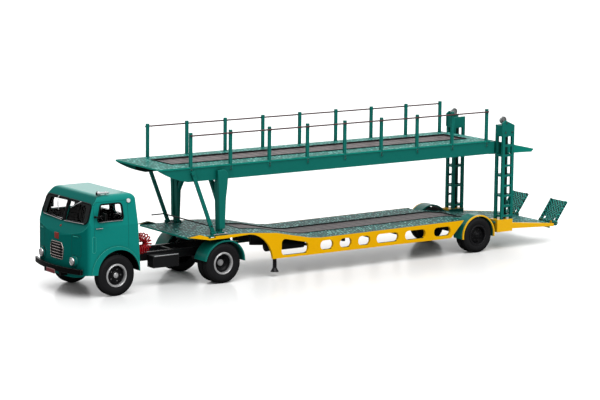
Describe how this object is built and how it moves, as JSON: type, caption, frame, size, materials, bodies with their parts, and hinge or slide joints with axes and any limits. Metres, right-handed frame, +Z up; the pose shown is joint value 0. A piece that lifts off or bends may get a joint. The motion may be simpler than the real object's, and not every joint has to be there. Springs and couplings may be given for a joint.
{
  "type": "car transporter truck scale model",
  "caption": "Scale model of a cab-over tractor and low two-deck car transporter semi-trailer with rear lattice masts, hinged at the kingpin, wheels that roll and ramps that fold.",
  "frame": {"origin": "middle of the footprint's bounding box, on the floor", "axes": "+X to the rear of the vehicle, +Y to its right, +Z up"},
  "size_m": [0.3134, 0.0552, 0.077],
  "materials": {
    "green_paint": "glossy teal-green enamel",
    "green_tread": "satin teal-green enamel on tread plate",
    "yellow_paint": "satin warm-yellow enamel",
    "black_paint": "satin black",
    "black_trim": "matt black",
    "grey_mesh": "grey mesh",
    "bright_metal": "bright plated",
    "grey_metal": "dull grey metal",
    "clear_glass": "clear glazing",
    "tyre_rubber": "matt black rubber",
    "red_line": "glossy red plastic",
    "plate_face": "blank plate",
    "brown_wire": "brown-grey wire"
  },
  "bodies": {
    "trailer": {"side_frames": "yellow_paint", "lower_deck": "green_tread", "deck_mesh": "grey_mesh", "underframe": "black_paint", "kingpin_plate": "black_paint", "air_tank": "black_paint", "landing_legs": "black_paint", "trailer_axle_beam": "black_paint", "trailer_fenders": "green_paint", "fender_bands": "yellow_paint", "tail_frame": "yellow_paint", "rear_towers": "green_paint", "tower_guides": "black_trim", "pulleys": "grey_metal", "upper_deck": "green_tread", "upper_beams": "green_paint", "posts": "green_paint", "rail_wires": "brown_wire", "portal_columns": "green_paint", "portal_struts": "green_paint", "winch_shaft": "black_trim"},
    "tractor": {"cab_shell": "green_paint", "cab_glazing": "clear_glass", "cab_interior": "black_trim", "grille": "black_trim", "headlights": "bright_metal", "front_bumper": "black_trim", "number_plate": "plate_face", "mirrors": "black_trim", "horns": "bright_metal", "chassis_frame": "black_paint", "side_boxes": "black_trim", "front_axle_beam": "black_paint", "drive_axle_housing": "black_paint", "drive_fenders": "green_paint", "fifth_wheel": "black_paint", "air_coil": "red_line"},
    "steer_left": {"knuckle_left": "black_paint"},
    "steer_right": {"knuckle_right": "black_paint"},
    "front_wheel_left": {"front_tyre_left": "tyre_rubber", "front_rim_left": "black_trim"},
    "front_wheel_right": {"front_tyre_right": "tyre_rubber", "front_rim_right": "black_trim"},
    "drive_wheels_left": {"drive_tyres_left": "tyre_rubber", "drive_rim_left": "black_trim"},
    "drive_wheels_right": {"drive_tyres_right": "tyre_rubber", "drive_rim_right": "black_trim"},
    "trailer_wheels_left": {"trailer_tyres_left": "tyre_rubber", "trailer_rim_left": "black_trim"},
    "trailer_wheels_right": {"trailer_tyres_right": "tyre_rubber", "trailer_rim_right": "black_trim"},
    "ramp_left": {"ramp_left": "green_tread"},
    "ramp_right": {"ramp_right": "green_tread"}
  },
  "joints": [
    {"name": "kingpin_turn", "type": "hinge", "parent": "trailer", "child": "tractor", "pos_m": [-0.07315, 0, 0.021], "axis": [0, 0, 1], "range_deg": [-75, 75]},
    {"name": "steer_left_turn", "type": "hinge", "parent": "tractor", "child": "steer_left", "pos_m": [-0.13225, -0.016, 0.0102], "axis": [0, 0, 1], "range_deg": [-25, 25]},
    {"name": "front_left_spin", "type": "hinge", "parent": "steer_left", "child": "front_wheel_left", "pos_m": [-0.13225, -0.0204, 0.0102], "axis": [0, 1, 0], "continuous": true},
    {"name": "steer_right_turn", "type": "hinge", "parent": "tractor", "child": "steer_right", "pos_m": [-0.13225, 0.016, 0.0102], "axis": [0, 0, 1], "range_deg": [-25, 25]},
    {"name": "front_right_spin", "type": "hinge", "parent": "steer_right", "child": "front_wheel_right", "pos_m": [-0.13225, 0.0204, 0.0102], "axis": [0, 1, 0], "continuous": true},
    {"name": "drive_left_spin", "type": "hinge", "parent": "tractor", "child": "drive_wheels_left", "pos_m": [-0.07035, -0.0189, 0.0102], "axis": [0, 1, 0], "continuous": true},
    {"name": "drive_right_spin", "type": "hinge", "parent": "tractor", "child": "drive_wheels_right", "pos_m": [-0.07035, 0.0189, 0.0102], "axis": [0, 1, 0], "continuous": true},
    {"name": "trailer_left_spin", "type": "hinge", "parent": "trailer", "child": "trailer_wheels_left", "pos_m": [0.093, -0.0205, 0.0095], "axis": [0, 1, 0], "continuous": true},
    {"name": "trailer_right_spin", "type": "hinge", "parent": "trailer", "child": "trailer_wheels_right", "pos_m": [0.093, 0.0205, 0.0095], "axis": [0, 1, 0], "continuous": true},
    {"name": "ramp_left_fold", "type": "hinge", "parent": "trailer", "child": "ramp_left", "pos_m": [0.1483, -0.01739, 0.0112], "axis": [0, 1, 0], "range_deg": [-30, 98]},
    {"name": "ramp_right_fold", "type": "hinge", "parent": "trailer", "child": "ramp_right", "pos_m": [0.1483, 0.01555, 0.0112], "axis": [0, 1, 0], "range_deg": [-30, 98]}
  ],
  "couplings": [
    {"joint": "steer_right_turn", "follows": "steer_left_turn", "ratio": 1}
  ]
}
